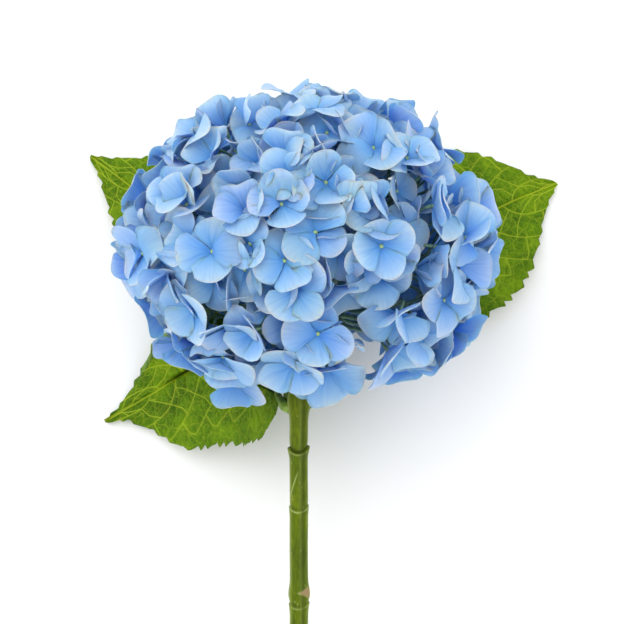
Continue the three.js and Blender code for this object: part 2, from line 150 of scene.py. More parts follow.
def head_points(local):
    """Carries points from the head's own directions and middle to the shared frame."""
    return HEAD_CENTRE + np.asarray(local, float) @ HEAD_AXES


def head_local(points):
    """The other way round: from the shared frame to the head's own directions."""
    return (np.asarray(points, float) - HEAD_CENTRE) @ HEAD_AXES.T


def chance(n, k):
    """A repeatable number from 0 to 1 for each pair of whole numbers."""
    s = math.sin(n * 12.9898 + k * 78.233) * 43758.5453
    return s - math.floor(s)


def unit(v):
    """Vectors of length one."""
    v = np.asarray(v, float)
    return v / np.maximum(np.linalg.norm(v, axis=-1, keepdims=True), 1e-9)


# --- Floret layout --------------------------------------------------------------------------
def make_floret(local, face, spin, seed):
    """One floret: it faces out of the head, and is pressed flat near the surface below."""
    local = np.asarray(local, float)
    facing = unit(local / HEAD_RADII ** 2)
    facing = facing * (1 - face * 0.6) + np.array([0, 0, 1]) * face * 0.6
    lean = 1.2 * (1 - 0.7 * face)
    facing = facing + lean * (np.array([chance(seed, 4), chance(seed, 5), chance(seed, 6)]) - 0.5)
    normal = unit(facing) @ HEAD_AXES
    centre = head_points(local)
    press = min(max((FLOOR_CLEARANCE + 16 - centre[2]) / 16, 0), 1)
    normal = unit(normal * (1 - press * 0.85) + np.array([0, 0, -1]) * press * 0.85)
    centre[2] = max(centre[2], FLOOR_CLEARANCE + 3.2 + 1.4)
    return {"local": local, "centre": centre, "normal": normal, "spin": spin, "seed": seed}


def lay_out_florets():
    """Every floret: its middle, the way it faces and its spin."""
    a, b, c = HEAD_RADII
    florets = []
    for i, (x, y, face, spin) in enumerate(KEY_FLORETS):
        left = max(0.0, 1 - (x / a) ** 2 - (y / b) ** 2)
        local = (x, y, c * math.sqrt(left) + 2 * chance(i, 9))
        florets.append(make_floret(local, face, math.radians(spin), i))
    keys = np.array([f["local"] for f in florets])
    for i in range(SPIRAL_COUNT):
        v = 1 - (2 * (i + 0.5)) / SPIRAL_COUNT
        if v < BALD_CONE:
            continue
        ring = math.sqrt(1 - v * v)
        turn = i * GOLDEN + 0.18 * (chance(i, 1) - 0.5)
        turn += FRONT_CROWDING * math.cos(turn)
        depth = 1 - 0.2 * chance(i, 2)
        local = np.array([a * depth * ring * math.cos(turn), b * depth * v - HEAD_SAG,
                          c * depth * ring * math.sin(turn)])
        if np.linalg.norm(keys - local, axis=1).min() < KEY_CLEARANCE:
            continue
        if abs(local[0] - OPENING[0]) < OPENING[2] and local[1] < OPENING[1]:
            continue
        florets.append(make_floret(local, 0.0, 2 * math.pi * chance(i, 3), i + 100))
    return florets


def group_florets(florets):
    """Groups of neighbouring florets that share one sprig, as lists of floret numbers."""
    free = list(range(len(florets)))
    centres = np.array([f["centre"] for f in florets])
    order = sorted(free, key=lambda k: -florets[k]["local"][1])
    groups = []
    for first in order:
        if first not in free:
            continue
        free.remove(first)
        members = [first]
        while len(members) < FLORETS_PER_SPRIG and free:
            middle = centres[members].mean(axis=0)
            away = np.linalg.norm(centres[free] - middle, axis=1)
            best = int(np.argmin(away))
            if away[best] >= SPRIG_REACH:
                break
            members.append(free.pop(best))
        groups.append(members)
    return groups


def share_out(feet):
    """Sprig feet shared out among the main branches by direction from the hub."""
    hub = head_points(HUB)
    heads = []
    for i in range(BRANCH_COUNT):
        v = 0.98 - (1.3 * (i + 0.4)) / BRANCH_COUNT
        ring = math.sqrt(1 - v * v)
        heads.append(np.array([ring * math.cos(i * GOLDEN), v, ring * math.sin(i * GOLDEN)]))
    heads = np.array(heads) @ HEAD_AXES
    shares = [[] for _ in heads]
    for k, foot in enumerate(feet):
        shares[int(np.argmax(heads @ unit(foot - hub)))].append(k)
    return [s for s in shares if s]


# --- Sepal shape ----------------------------------------------------------------------------
CONTROL = 5          # control points along and across a sepal
FINE = 13            # mesh points along and across a sepal


def disc_grid(count):
    """A square grid bent into a round one: across and along."""
    s, t = np.meshgrid(np.linspace(-1, 1, count), np.linspace(-1, 1, count))
    return s * np.sqrt(1 - t * t / 2), t * np.sqrt(1 - s * s / 2)


def sepal_shape(count, dice):
    """One sepal as a grid of points: x across, y away from the floret's middle, z up."""
    x, y = disc_grid(count)
    length = SEPAL_LENGTH * (0.84 + 0.26 * dice[0])
    half = SEPAL_HALF_WIDTH * (0.84 + 0.24 * dice[1])
    out = (y + 1) / 2
    taper = 0.13 + 0.87 * np.clip(out / 0.5, 0, 1) ** 0.8 * (1 - 0.06 * out)
    px = x * half * taper
    # The sepal first rises, then curls in or flares out towards its tip.
    rise = 0.12 + 1.5 * dice[2] ** 1.15
    bend = rise * (1 - (1.6 * dice[3] - 0.5) * out)
    run = length * (0.015 + 0.985 * out ** 0.95)
    py = run * np.cos(bend)
    pz = run * np.sin(bend)
    # Its sides stand up in a shallow trough, and the margin waves a little.
    pz = pz + half * (0.1 + 0.6 * dice[4]) * x * x * out
    edge = np.sqrt(np.clip(x * x + y * y, 0, 1)) ** 3
    turn = np.arctan2(y, x)
    pz = pz + edge * out * (0.8 * np.sin(2 * turn + 6.3 * dice[5])
                            + 0.5 * np.sin(3 * turn + 6.3 * dice[6]))
    return np.stack([px, py, pz], axis=-1)


def floret_axes(normal, spin):
    """Unit vectors of a floret: two in its plane, turned by its spin, and its normal."""
    u = unit(np.cross(np.array([0.3, 1, 0.2]), normal))
    v = np.cross(normal, u)
    return np.stack([u * math.cos(spin) + v * math.sin(spin),
                     v * math.cos(spin) - u * math.sin(spin), normal])


def open_sepals(floret, count):
    """The four sepals of a floret at full size about its middle, in the floret's own axes."""
    rng = np.random.default_rng(floret["seed"] + 17)
    cup = rng.uniform(0, 1)
    sepals = []
    for k in range(4):
        dice = rng.uniform(0, 1, 7)
        dice[2] = (0.5 if k % 2 else 0.35) * cup + 0.5 * dice[2]
        p = sepal_shape(count, dice)
        if k % 2:
            p[..., 2] += 0.7
        w = math.pi / 2 * k + rng.uniform(-0.1, 0.1)
        p = p * floret["size"]
        turned = p.copy()
        turned[..., 0] = p[..., 0] * math.cos(w) - p[..., 1] * math.sin(w)
        turned[..., 1] = p[..., 0] * math.sin(w) + p[..., 1] * math.cos(w)
        sepals.append(turned)
    return np.array(sepals)


# --- Growth: the sepals open and push one another aside --------------------------------------
def close_pairs(points, owner, reach):
    """Pairs of points nearer than reach that belong to different florets."""
    cell = np.floor(points / reach).astype(np.int64)
    cell -= cell.min(axis=0) - 1
    # One number for each cell; there are fewer than 2000 cells in any direction.
    step = np.array([1, 2000, 2000 ** 2])
    key = cell @ step
    order = np.argsort(key, kind="stable")
    sorted_key = key[order]
    first, second = [], []
    for dx in (-1, 0, 1):
        for dy in (-1, 0, 1):
            for dz in (-1, 0, 1):
                shift = dx * step[0] + dy * step[1] + dz * step[2]
                if shift < 0:
                    continue
                low = np.searchsorted(sorted_key, key + shift, "left")
                count = np.searchsorted(sorted_key, key + shift, "right") - low
                a = np.repeat(np.arange(len(points)), count)
                start = np.repeat(low - (np.cumsum(count) - count), count)
                b = order[start + np.arange(len(a))]
                keep = owner[a] != owner[b]
                if shift == 0:
                    keep &= a < b
                a, b = a[keep], b[keep]
                near = ((points[a] - points[b]) ** 2).sum(axis=1) < reach * reach
                first.append(a[near])
                second.append(b[near])
    return np.concatenate(first), np.concatenate(second)


def best_turn(rest, now, start=0.0):
    """The rotation that best carries each rest cloud to its present one."""
    spread = np.einsum("...ni,...nj->...ij", now, rest) + start
    u, _, vt = np.linalg.svd(spread)
    flip = np.sign(np.linalg.det(u @ vt))
    u[..., :, 2] *= flip[..., None]
    return u @ vt


def grow(florets, clear):
    """Opens all sepals together from small to full size while they push one another aside.
    Gives each sepal's control points, the same points of the unbent sepal, the turn and place
    that carry it there, and the florets' axes."""
    rest = np.array([open_sepals(f, CONTROL).reshape(4, -1, 3) for f in florets])
    axes = np.array([floret_axes(f["normal"], f["spin"]) for f in florets])
    centre = np.array([f["centre"] for f in florets])
    count, dots = len(florets), rest.shape[2]
    world_rest = np.einsum("fpni,fij->fpnj", rest, axes)
    point = centre[:, None, None] + START_SIZE * world_rest
    owner = np.repeat(np.arange(count), 4 * dots)
    middle = centre
    for step in range(GROWTH_ROUNDS):
        opened = (1 - START_SIZE) * (step + 1) / (GROWTH_ROUNDS * 0.6)
        size = min(1.0, START_SIZE + opened)
        goal_rest = size * world_rest
        # Each floret settles as a whole, near the place it was given.
        cloud = point.reshape(count, -1, 3)
        rest_cloud = goal_rest.reshape(count, -1, 3)
        shift = (cloud - rest_cloud).mean(axis=1)
        middle = middle + 0.5 * (shift - middle) + 0.2 * (centre - middle)
        stiff = 0.35 * np.eye(3) * np.einsum("fni,fni->f", rest_cloud, rest_cloud)[:, None, None]
        turn = best_turn(rest_cloud, cloud - middle[:, None], stiff)
        whole = middle[:, None] + np.einsum("fij,fnj->fni", turn, rest_cloud)
        whole = whole.reshape(point.shape)
        # Each sepal goes back towards its own shape, hinged at the floret's middle.
        rest_mid = goal_rest.mean(axis=2, keepdims=True)
        mid = point.mean(axis=2, keepdims=True)
        own_turn = best_turn(goal_rest - rest_mid, point - mid)
        own = np.einsum("fpij,fpnj->fpni", own_turn, goal_rest)
        own_mid = mid - np.einsum("fpij,fpnj->fpni", own_turn, rest_mid)
        own_mid = 0.25 * own_mid + 0.75 * middle[:, None, None]
        own = own + own_mid
        point = point + 0.5 * (own - point) + 0.12 * (whole - point)
        # Points of different florets push each other apart.
        flat = point.reshape(-1, 3)
        if step % 4 == 0:
            a, b = close_pairs(flat, owner, SEPAL_CLEARANCE + 2.2)
        for _ in range(2):
            apart = flat[a] - flat[b]
            far = np.linalg.norm(apart, axis=1)
            hit = far < SEPAL_CLEARANCE
            push = apart[hit] * ((SEPAL_CLEARANCE - far[hit]) / np.maximum(far[hit], 1e-4))[:, None]
            fix = np.zeros_like(flat)
            hits = np.ones(len(flat))
            for side, sign in ((a[hit], 0.5), (b[hit], -0.5)):
                for axis in range(3):
                    fix[:, axis] += np.bincount(side, sign * push[:, axis], len(flat))
                hits += np.bincount(side, minlength=len(flat))
            flat = flat + fix / hits[:, None] * 1.6
            flat = clear(flat)
        point = flat.reshape(point.shape)
    mid = point.mean(axis=2, keepdims=True)
    rest_mid = world_rest.mean(axis=2, keepdims=True)
    turn = best_turn(world_rest - rest_mid, point - mid)
    rigid = mid + np.einsum("fpij,fpnj->fpni", turn, world_rest - rest_mid)
    return point, rigid, turn, (mid - np.einsum("fpij,fpnj->fpni", turn, rest_mid))[:, :, 0], axes


def bend_matrix(coarse, fine):
    """Carries values at evenly spaced control points to a finer row by one smooth curve."""
    a = np.vander(np.linspace(-1, 1, coarse), coarse - 1)
    b = np.vander(np.linspace(-1, 1, fine), coarse - 1)
    return b @ np.linalg.pinv(a)


def finished_sepals(florets):
    """Fine grids of all sepals after growth: florets, 4, FINE, FINE, xyz."""
    a, b, c = HEAD_RADII + HEAD_MARGIN

    def clear(p):
        """Keeps points above the surface and inside the head."""
        p[:, 2] = np.maximum(p[:, 2], FLOOR_CLEARANCE + 0.6)
        local = head_local(p) + [0, HEAD_SAG, 0]
        far = np.sqrt((local[:, 0] / a) ** 2 + (local[:, 1] / b) ** 2 + (local[:, 2] / c) ** 2)
        # The outside of the head is not smooth: it swells and sinks from floret to floret.
        far = far - 0.035 * (np.sin(local / [4.2, 4.6, 4.9]) @ np.ones(3))
        over = far > 1
        if over.any():
            local[over] /= (1 + 0.5 * (far[over] - 1))[:, None]
            p[over] = head_points(local[over] - [0, HEAD_SAG, 0])
        return p

    centres = np.array([f["centre"] for f in florets])
    apart = np.linalg.norm(centres[:, None] - centres[None], axis=2)
    room = np.sort(apart, axis=1)[:, 1:6].mean(axis=1)
    for floret, r in zip(florets, room):
        # A floret with more room about it grows larger.
        floret["size"] = float(np.clip(r / USUAL_ROOM, 0.9, 1.28))
    point, rigid, turn, place, axes = grow(florets, clear)
    bend = bend_matrix(CONTROL, FINE)
    slack = (point - rigid).reshape(len(florets), 4, CONTROL, CONTROL, 3)
    slack = np.einsum("ai,bj,fpijk->fpabk", bend, bend, slack)
    fine = np.array([open_sepals(f, FINE) for f in florets])
    fine = np.einsum("fpabi,fij->fpabj", fine, axes)
    fine = np.einsum("fpij,fpabj->fpabi", turn, fine) + place[:, :, None, None]
    fine = fine + slack
    fine[..., 2] = np.maximum(fine[..., 2], FLOOR_CLEARANCE + 0.3)
    return fine


def sepal_values():
    """What a sepal's material needs at each point of its grid, with room for a number of its
    own: how far out it lies and its angle from the claw. Also the sepal's thickness."""
    x, y = disc_grid(FINE)
    out = (y + 1) / 2
    even = np.linspace(-1, 1, FINE)
    rim = np.maximum(np.abs(even)[None, :], even[:, None])
    # Along the rim the value rises to the palest colours, a painted highlight on the thin edge.
    far = np.clip(0.88 * out + 0.12 * rim ** 8, 0, 1)
    angle = np.arctan2(x, out + 0.22) / 3.0 + 0.5
    return np.stack([far, angle, 0 * x], axis=-1), 0.5 - 0.28 * rim ** 4


# --- Mesh making ----------------------------------------------------------------------------
def sheet_faces(rows, columns):
    """Four-sided faces of a grid of points."""
    i, j = np.meshgrid(np.arange(rows - 1), np.arange(columns - 1), indexing="ij")
    a = (i * columns + j).ravel()
    return np.stack([a, a + 1, a + columns + 1, a + columns], axis=1)


def ring_faces(rings, sides):
    """Four-sided faces between rings of points that follow one another."""
    i, k = np.meshgrid(np.arange(rings - 1), np.arange(sides), indexing="ij")
    a, b = (i * sides + k).ravel(), (i * sides + (k + 1) % sides).ravel()
    return np.stack([a, b, b + sides, a + sides], axis=1)


class MeshBuilder:
    """Collects points, faces, face materials and three values per point for one object."""

    def __init__(self):
        self.points, self.faces, self.slots, self.values = [], [], [], []
        self.count = 0

    def add(self, points, faces, slot, values=None):
        """Adds points and their faces; gives the number of the first new point."""
        points = np.asarray(points, float).reshape(-1, 3)
        first = self.count
        self.points.append(points)
        self.faces.extend((faces + first).tolist())
        self.slots.extend([slot] * len(faces))
        if values is None:
            values = np.zeros((len(points), 3))
        self.values.append(np.asarray(values, float).reshape(-1, 3))
        self.count += len(points)
        return first

    def add_fan(self, tip, first, sides, slot, turned=False):
        """Triangles from a tip to the ring of points that starts at the number first."""
        for j in range(sides):
            face = [tip, first + j, first + (j + 1) % sides]
            self.faces.append(face[::-1] if turned else face)
        self.slots.extend([slot] * sides)

    def add_cut(self, ring, slot, turned):
        """Closes a ring with smaller and smaller ones, a little hollow like a fresh cut."""
        sides = len(ring)
        middle = ring.mean(axis=0)
        shares = np.linspace(1, 0, CUT_RINGS + 1)[:-1]
        hollow = CUT_HOLLOW * np.sin(np.linspace(0, math.pi, CUT_RINGS + 1)[:-1])
        normal = unit(np.cross(ring[0] - middle, ring[sides // 4] - middle))
        points = [middle + (ring - middle) * q - normal * d for q, d in zip(shares, hollow)]
        points = np.concatenate(points + [[middle]])
        values = np.zeros((len(points), 3))
        values[:-1, 0] = np.repeat(shares, sides)
        quads = ring_faces(CUT_RINGS, sides)
        first = self.add(points, quads[:, ::-1] if turned else quads, slot, values)
        tip = first + len(points) - 1
        self.add_fan(tip, tip - sides, sides, slot, turned)

    def finish(self, name, materials):
        """One linked object with its materials and the values of its points."""
        mesh = bpy.data.meshes.new(name)
        mesh.from_pydata((np.concatenate(self.points) * MM).tolist(), [], self.faces)
        for material in materials:
            mesh.materials.append(material)
        mesh.polygons.foreach_set("material_index", self.slots)
        mesh.polygons.foreach_set("use_smooth", [True] * len(self.faces))
        place = mesh.attributes.new("place", "FLOAT_COLOR", "POINT")
        values = np.pad(np.concatenate(self.values), ((0, 0), (0, 1)))
        place.data.foreach_set("color", values.ravel())
        mesh.update()
        obj = bpy.data.objects.new(name, mesh)
        bpy.context.scene.collection.objects.link(obj)
        return obj


def rim_loop(rows, columns):
    """Numbers of the points round the edge of a grid."""
    top = np.arange(columns)
    right = np.arange(1, rows) * columns + columns - 1
    bottom = (rows - 1) * columns + np.arange(columns - 2, -1, -1)
    left = np.arange(rows - 2, 0, -1) * columns
    return np.concatenate([top, right, bottom, left])


def add_sheet(builder, grid, thick, slot, values):
    """A thin closed sheet: both sides of a grid of points, and its rim."""
    rows, columns = grid.shape[:2]
    normal = unit(np.cross(np.gradient(grid, axis=1), np.gradient(grid, axis=0)))
    half = (np.asarray(thick) / 2)[..., None] * normal
    both = np.concatenate([(grid + half).reshape(-1, 3), (grid - half).reshape(-1, 3)])
    n = rows * columns
    loop = rim_loop(rows, columns)
    after = np.roll(loop, -1)
    rim = np.stack([after, after + n, loop + n, loop], axis=1)
    quads = sheet_faces(rows, columns)
    faces = np.concatenate([quads, (quads + n)[:, ::-1], rim])
    builder.add(both, faces, slot, np.concatenate([values.reshape(-1, 3)] * 2))


def add_tube(builder, path, radii, slot, sides):
    """A closed round bar along a path."""
    way = unit(np.gradient(path, axis=0))
    side = np.array([1.0, 0, 0]) if abs(way[0][0]) < 0.8 else np.array([0, 1.0, 0])
    turn = np.linspace(0, 2 * math.pi, sides, endpoint=False)[:, None]
    rings = []
    for p, t, r in zip(path, way, radii):
        side = unit(side - t * side.dot(t))
        rings.append(p + r * (np.cos(turn) * side + np.sin(turn) * np.cross(t, side)))
    points = np.concatenate(rings + [path[[0, -1]]])
    first = builder.add(points, ring_faces(len(path), sides), slot)
    ends = first + len(path) * sides
    builder.add_fan(ends, first, sides, slot, turned=True)
    builder.add_fan(ends + 1, ends - sides, sides, slot)


def add_bud(builder, base, normal, radius):
    """A closed bud of four blunt lobes."""
    u, v, _ = floret_axes(normal, 0.0)
    turn = np.linspace(0, 2 * math.pi, BUD_SIDES, endpoint=False)
    points = []
    for rise in (np.linspace(-0.5, 1, BUD_RINGS + 1) * math.pi / 2)[:-1]:
        r = radius * math.cos(rise) * (1 + 0.1 * np.cos(4 * turn))
        z = radius * 0.95 * math.sin(rise)
        points.append(base + normal * (z + BUD_RAISED) + r[:, None]
                      * (np.cos(turn)[:, None] * u + np.sin(turn)[:, None] * v))
    points += [[base + normal * (BUD_RAISED + radius)],
               [base + normal * (BUD_RAISED - radius * 0.6)]]
    first = builder.add(np.concatenate(points), ring_faces(BUD_RINGS, BUD_SIDES), BUD_SLOT)
    top = first + BUD_RINGS * BUD_SIDES
    builder.add_fan(top, top - BUD_SIDES, BUD_SIDES, BUD_SLOT)
    builder.add_fan(top + 1, first, BUD_SIDES, BUD_SLOT, turned=True)


def curve(start, start_way, end, end_way, count):
    """Points of a smooth curve that leaves and arrives in the given directions."""
    reach = np.linalg.norm(end - start) * 0.45
    p = [start, start + start_way * reach, end - end_way * reach, end]
    t = np.linspace(0, 1, count)[:, None]
    return ((1 - t) ** 3 * p[0] + 3 * t * (1 - t) ** 2 * p[1] + 3 * t * t * (1 - t) * p[2]
            + t ** 3 * p[3])


def bell(x, width):
    """1 where x is nothing, falling off smoothly on both sides."""
    return np.exp(-(x / width) ** 2)


# --- Colour and node helpers ----------------------------------------------------------------
def linear(hex_colour):
    """An sRGB hex colour as linear red, green, blue and full alpha."""
    value = hex_colour.lstrip("#")
    parts = [int(value[i:i + 2], 16) / 255 for i in (0, 2, 4)]
    parts = [p / 12.92 if p <= 0.04045 else ((p + 0.055) / 1.055) ** 2.4 for p in parts]
    return (*parts, 1.0)


def node(tree, kind, settings=None, inputs=None):
    """Adds a node with its settings; inputs are values or (node, output) links."""
    made = tree.nodes.new(kind)
    for key, value in (settings or {}).items():
        setattr(made, key, value)
    for key, value in (inputs or {}).items():
        socket = made.inputs[key]
        if isinstance(value, tuple) and len(value) == 2 and hasattr(value[0], "outputs"):
            tree.links.new(value[0].outputs[value[1]], socket)
        else:
            socket.default_value = value
    return made


# Each of the next helpers adds one node and gives the (node, output) link to its result.
def ramp(tree, source, stops):
    """Colours along a value; stops are (position, hex colour)."""
    made = node(tree, "ShaderNodeValToRGB", inputs={"Fac": source})
    band = made.color_ramp
    while len(band.elements) < len(stops):
        band.elements.new(0.5)
    for element, (position, colour) in zip(band.elements, stops):
        element.position = position
        element.color = linear(colour)
    return made, "Color"


def blend(tree, amount, under, over, kind="MIX"):
    """Lays a colour, in hex or from a node, over another one."""
    if isinstance(over, str):
        over = linear(over)
    return node(tree, "ShaderNodeMix", {"data_type": "RGBA", "blend_type": kind},
                {0: amount, 6: under, 7: over}), 2


def maths(tree, operation, first, second):
    return node(tree, "ShaderNodeMath", {"operation": operation}, {0: first, 1: second}), 0


def noise(tree, where, scale, detail, roughness=0.5):
    return node(tree, "ShaderNodeTexNoise", inputs={
        "Vector": where, "Scale": scale, "Detail": detail, "Roughness": roughness}), "Fac"


def rescale(tree, value, low, high, to_low, to_high):
    return node(tree, "ShaderNodeMapRange", inputs={
        "Value": value, "From Min": low, "From Max": high,
        "To Min": to_low, "To Max": to_high}), "Result"


def bump(tree, height, strength=0.35, distance=0.0003, invert=False):
    return node(tree, "ShaderNodeBump", {"invert": invert}, {
        "Strength": strength, "Distance": distance, "Height": height}), "Normal"


def own_place(tree):
    return node(tree, "ShaderNodeTexCoord"), "Object"


def point_values(tree):
    """Links to the three values that the mesh holds at each point."""
    place = node(tree, "ShaderNodeAttribute", {"attribute_name": "place"})
    split = node(tree, "ShaderNodeSeparateColor", inputs={"Color": (place, "Color")})
    return [(split, channel) for channel in ("Red", "Green", "Blue")]


def new_material(name):
    """A material with no nodes yet, and its node tree."""
    material = bpy.data.materials.new(name)
    material.use_nodes = True
    material.node_tree.nodes.clear()
    return material, material.node_tree


def finish_material(tree, colour, roughness, more=None):
    """Gives a material its surface."""
    shader = node(tree, "ShaderNodeBsdfPrincipled", inputs={
        "Base Color": colour, "Roughness": roughness, **(more or {})})
    node(tree, "ShaderNodeOutputMaterial", inputs={"Surface": (shader, 0)})


def glow(weight, scale=0.001):
    """How much light enters the tissue, and how deep it goes."""
    return {"Subsurface Weight": weight, "Subsurface Scale": scale}


# --- Materials ------------------------------------------------------------------------------
def sepal_material(settings):
    """Living hydrangea sepal: thin, softly matt tissue full of water. Light passes through it,
    so folds glow a deeper blue, and fine veins fan out from the claw to a paler margin. The
    deep blue at the claw is partly its own colour and partly painted shade; the pale margin is
    a painted highlight."""
    material, tree = new_material("hydrangea_sepal")
    out, angle, dice = point_values(tree)
    # From the claw out: a deep blue, partly the sepal's own colour and partly painted shade, then
    # paler tones up to a painted highlight at the margin.
    base = ramp(tree, out, [(0.0, "#3a84cf"), (0.22, "#68a3dc"), (0.6, "#94b9dc"),
                            (0.88, "#b1c6da"), (0.97, "#c5d2e1"), (1.0, "#dde4ec")])
    # Fine veins: noise drawn out along each ray from the claw.
    shift = maths(tree, "MULTIPLY", dice, 37.0)
    rays = node(tree, "ShaderNodeCombineXYZ", inputs={
        "X": maths(tree, "MULTIPLY", angle, 26.0), "Y": maths(tree, "MULTIPLY", out, 1.6),
        "Z": shift})
    veins = noise(tree, (rays, "Vector"), 1.0, 3.0, 0.6)
    vein_mask = rescale(tree, veins, 0.42, 0.62, 0.0, 1.0)
    veined = blend(tree, maths(tree, "MULTIPLY", vein_mask, 0.17), base, "#8db4ea", "MULTIPLY")
    # A few broad blue creases run out from the claw and fade before the margin.
    fan = node(tree, "ShaderNodeCombineXYZ", inputs={
        "X": maths(tree, "MULTIPLY", angle, 9.0), "Y": shift})
    folds = noise(tree, (fan, "Vector"), 1.0, 1.0)
    crease = maths(tree, "MULTIPLY", rescale(tree, folds, 0.57, 0.68, 0.0, 0.6),
                   rescale(tree, out, 0.15, 0.75, 1.0, 0.0))
    creased = blend(tree, crease, veined, "#3f86d0")
    # Each sepal leans a little towards lavender or towards clear blue.
    tint = ramp(tree, dice, [(0.0, "#9fc8f0"), (0.35, "#ffffff"), (0.7, "#ffffff"),
                             (1.0, "#cdc0f4")])
    finish_material(tree, blend(tree, 0.35, creased, tint, "MULTIPLY"), 0.55, {
        **glow(settings.sepal_glow, 0.002), "Subsurface Radius": (0.35, 0.6, 1.0),
        "IOR": 1.42, "Specular IOR Level": 0.35, "Sheen Weight": 0.15, "Sheen Roughness": 0.5,
        "Normal": bump(tree, veins)})
    return material


def bud_material():
    """The closed bud in a floret's middle: waxy, pale green with a yellow cast."""
    material, tree = new_material("floret_bud")
    mottle = noise(tree, own_place(tree), 900.0, 2.0)
    finish_material(tree, ramp(tree, mottle, [(0.3, "#86ad72"), (0.7, "#b9cf88")]), 0.42,
                    glow(0.2))
    return material


def stalk_material():
    """Pedicels and branches: juicy green tissue flushed with blue, cloudy in colour."""
    material, tree = new_material("flower_stalk")
    clouds = noise(tree, own_place(tree), 160.0, 3.0)
    colour = ramp(tree, clouds, [(0.3, "#38655c"), (0.5, "#557f6d"), (0.75, "#7f9f7c")])
    finish_material(tree, colour, 0.5, {**glow(0.15), "Normal": bump(tree, clouds, 0.3)})
    return material


def petiole_material():
    """Leaf stalk: yellow-green like the young stem, satin with faint mottling."""
    material, tree = new_material("leaf_petiole")
    mottle = noise(tree, own_place(tree), 300.0, 3.0)
    colour = ramp(tree, mottle, [(0.3, "#4f6e0d"), (0.5, "#6a8a1c"), (0.7, "#8ca53e")])
    finish_material(tree, colour, 0.42, {"Normal": bump(tree, mottle, 0.3)})
    return material


def stem_material():
    """Skin of a soft green stem: satin and streaked along its length. Ridges, lenticels and the
    lips of the collars are paler, the ridge tops with a painted highlight; the leaf scar is dry
    and tan; the grooves over the collar lips and one side of the stem are darkened with painted
    shade."""
    material, tree = new_material("stem_green_skin")
    pale, scar, painted_shade = point_values(tree)
    place = own_place(tree)
    drawn_out = node(tree, "ShaderNodeMapping", inputs={
        "Vector": place, "Scale": (1.0, 0.06, 1.0)})
    streaks = noise(tree, (drawn_out, "Vector"), 900.0, 4.0, 0.6)
    patches = noise(tree, place, 45.0, 2.0)
    mixed = maths(tree, "MULTIPLY", maths(tree, "ADD", streaks, patches), 0.5)
    skin = ramp(tree, mixed, [(0.3, "#394a00"), (0.5, "#566900"), (0.7, "#738100")])
    # Paler marks of the lenticels, the fibre, the scar's rim and the collar lips, with a painted
    # highlight along the ridge tops.
    paler = blend(tree, pale, skin, "#a5b36a")
    # Painted shade: the grooves over the collar lips and one side of the stem are darkened.
    shade_painted = blend(tree, painted_shade, paler, "#2f3c00")
    scarred = blend(tree, scar, shade_painted, "#94805a")
    finish_material(tree, scarred, rescale(tree, scar, 0.0, 1.0, 0.38, 0.8), {
        **glow(0.08), "Specular IOR Level": 0.12, "Normal": bump(tree, streaks)})
    return material


def pith_material():
    """Fresh cut face of the stem: a green rind, a paler woody ring and a white spongy pith."""
    material, tree = new_material("stem_cut_pith")
    outwards = point_values(tree)[0]
    pores = node(tree, "ShaderNodeTexVoronoi", inputs={
        "Vector": own_place(tree), "Scale": 2600.0})
    rings = ramp(tree, outwards, [(0.0, "#e9ecd2"), (0.55, "#dde3bd"), (0.68, "#a9b876"),
                                  (0.85, "#8fa552"), (1.0, "#55701a")])
    finish_material(tree, rings, 0.7, {
        "Normal": bump(tree, (pores, "Distance"), 0.6, 0.0002)})
    return material


def leaf_material():
    """Living leaf blade: a thin satin skin over juicy green tissue, mottled from field to
    field, with yellow-green veins. The rolled margin shows the paler underside."""
    material, tree = new_material("leaf_blade")
    vein, pale, crease = point_values(tree)
    place = own_place(tree)
    mottle = noise(tree, place, 60.0, 5.0, 0.65)
    green = ramp(tree, mottle, [(0.34, "#345800"), (0.5, "#4a7000"), (0.66, "#668802")])
    cells = node(tree, "ShaderNodeTexVoronoi", {"feature": "DISTANCE_TO_EDGE"}, {
        "Vector": place, "Scale": 620.0})
    finest_veins = rescale(tree, (cells, "Distance"), 0.0, 0.16, 0.16, 0.0)
    netted = blend(tree, finest_veins, green, "#a3bb22")
    veined = blend(tree, maths(tree, "MULTIPLY", vein, 0.65), netted, "#adbd2c")
    rolled = blend(tree, pale, veined, "#8fae78")
    # Painted shade: the crease along the midrib is darkened.
    creased = blend(tree, crease, rolled, "#1c3304")
    finish_material(tree, creased, 0.55, {
        **glow(0.15), "Specular IOR Level": 0.1,
        "Normal": bump(tree, finest_veins, invert=True)})
    return material


# --- Leaves ---------------------------------------------------------------------------------
def head_underside(x, y):
    """Height of the head's underside over places given across and along the stem."""
    a, b, c = HEAD_RADII + 7
    left = 1 - (x / a) ** 2 - (y / b) ** 2
    under = HEAD_HEIGHT + y * math.sin(TILT) - c * np.sqrt(np.maximum(left, 0)) * math.cos(TILT)
    return np.where(left <= 0, np.inf, under)


def at_height(x, y, height):
    """Points at a height above the surface, at places across and along the stem."""
    z = (height - HEAD_HEIGHT - y * math.sin(TILT)) / math.cos(TILT)
    return head_points(np.stack([x, y, z], axis=-1))


def smooth_line(points, count):
    """A smooth line through points, at even steps of its length."""
    p = np.asarray(points, float)
    p = np.concatenate([[2 * p[0] - p[1]], p, [2 * p[-1] - p[-2]]])
    out = []
    for i in range(1, len(p) - 2):
        t = np.linspace(0, 1, 40, endpoint=False)[:, None]
        a, b, c, d = p[i - 1], p[i], p[i + 1], p[i + 2]
        out.append(0.5 * (2 * b + (c - a) * t + (2 * a - 5 * b + 4 * c - d) * t ** 2
                          + (3 * b - a - 3 * c + d) * t ** 3))
    line = np.concatenate(out + [p[-2:-1]])
    run = np.concatenate([[0], np.cumsum(np.linalg.norm(np.diff(line, axis=0), axis=1))])
    want = np.linspace(0, run[-1], count)
    return np.stack([np.interp(want, run, line[:, k]) for k in range(3)], axis=1)


def blade_half_width(share, profile):
    """Half width of a blade at a share of its length."""
    return np.interp(share, np.linspace(0, 1, len(profile)), profile)


